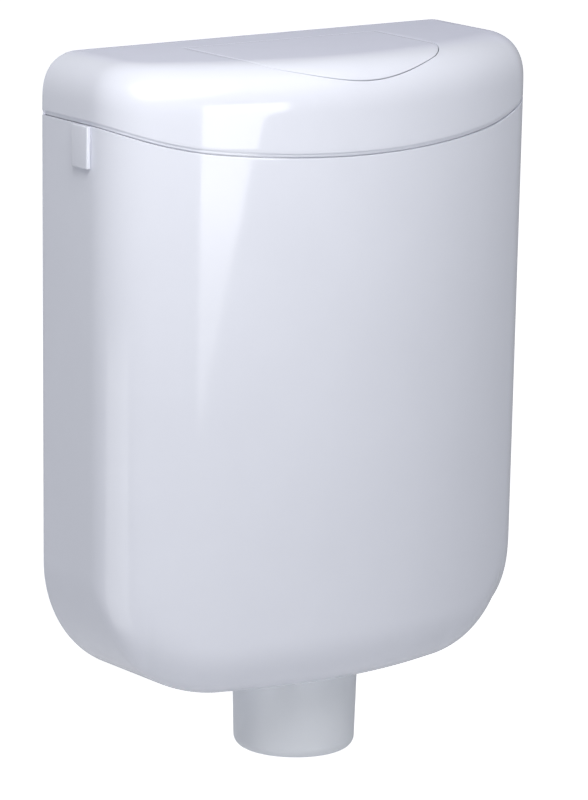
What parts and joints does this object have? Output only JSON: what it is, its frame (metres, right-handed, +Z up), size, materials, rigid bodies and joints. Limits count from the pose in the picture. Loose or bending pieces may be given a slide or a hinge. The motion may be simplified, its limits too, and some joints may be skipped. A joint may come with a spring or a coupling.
{
  "type": "toilet cistern",
  "caption": "Low-level wall-hung toilet cistern: D-shaped plastic tank, domed lid with a hinged flush plate, round outlet collar below, float-operated fill valve and lifting flush valve inside.",
  "frame": {"origin": "on the wall, midway between the two wall screws", "axes": "+X to the right seen from the front, +Y into the wall, +Z up; the front faces -Y"},
  "size_m": [0.3945, 0.148, 0.533],
  "materials": {
    "white_plastic": "gloss white with a slight blue cast",
    "pale_plastic": "satin moulded",
    "grey_plastic": "satin moulded",
    "blue_plastic": "satin moulded",
    "tube_plastic": "smooth extruded",
    "float_plastic": "fine matt",
    "seal_rubber": "matt",
    "stainless_steel": "bright drawn",
    "brass": "turned"
  },
  "bodies": {
    "tank": {"tank": "white_plastic", "inlet_blank": "white_plastic", "blank_clip": "grey_plastic", "inlet_nipple": "brass", "inlet_washer": "seal_rubber", "inlet_nut": "pale_plastic", "fill_valve_body": "pale_plastic", "diaphragm": "seal_rubber", "valve_bonnet": "blue_plastic", "arm_pin": "stainless_steel", "fill_tube": "tube_plastic", "bridge": "pale_plastic", "bridge_screws": "stainless_steel", "rocker_pin": "stainless_steel", "valve_cage": "pale_plastic", "valve_seat": "pale_plastic", "seat_gasket": "seal_rubber", "outlet_washer": "seal_rubber", "outlet_nut": "pale_plastic", "pipe_seal": "seal_rubber", "outlet_collar": "white_plastic"},
    "lid": {"lid": "white_plastic", "hinge_pins": "stainless_steel", "return_spring": "stainless_steel"},
    "plate": {"flush_plate": "white_plastic"},
    "rocker": {"rocker": "blue_plastic"},
    "valve": {"valve_tube": "tube_plastic", "valve_float": "float_plastic", "valve_seal": "seal_rubber", "seal_retainer": "blue_plastic", "lift_yoke": "blue_plastic", "lift_bar": "stainless_steel"},
    "float": {"float_arm": "blue_plastic", "float_rod": "pale_plastic", "float": "float_plastic"},
    "piston": {"valve_piston": "pale_plastic"}
  },
  "joints": [
    {"name": "lid_lift", "type": "slide", "parent": "tank", "child": "lid", "axis": [0, 0, 1], "range_m": [0, 0.2]},
    {"name": "plate_press", "type": "hinge", "parent": "lid", "child": "plate", "pos_m": [0, -0.039, 0.0925], "axis": [1, 0, 0], "range_deg": [0, 8], "stiffness_Nm_per_rad": 0.6, "springref_deg": -14.32, "deforming": ["return_spring"]},
    {"name": "rocker_tilt", "type": "hinge", "parent": "tank", "child": "rocker", "pos_m": [0, -0.093, 0.04], "axis": [1, 0, 0], "range_deg": [0, 32.4]},
    {"name": "valve_lift", "type": "slide", "parent": "tank", "child": "valve", "axis": [0, 0, 1], "range_m": [0, 0.0228]},
    {"name": "float_swing", "type": "hinge", "parent": "tank", "child": "float", "pos_m": [0.11585, -0.054, 0.0275], "axis": [0, 1, 0], "range_deg": [0, 10]},
    {"name": "piston_slide", "type": "slide", "parent": "tank", "child": "piston", "axis": [1, 0, 0], "range_m": [0, 0.0029]}
  ],
  "couplings": [
    {"joint": "rocker_tilt", "follows": "plate_press", "ratio": 4.04},
    {"joint": "valve_lift", "follows": "plate_press", "m_per_rad": 0.1619},
    {"joint": "piston_slide", "follows": "float_swing", "m_per_rad": 0.0163}
  ]
}
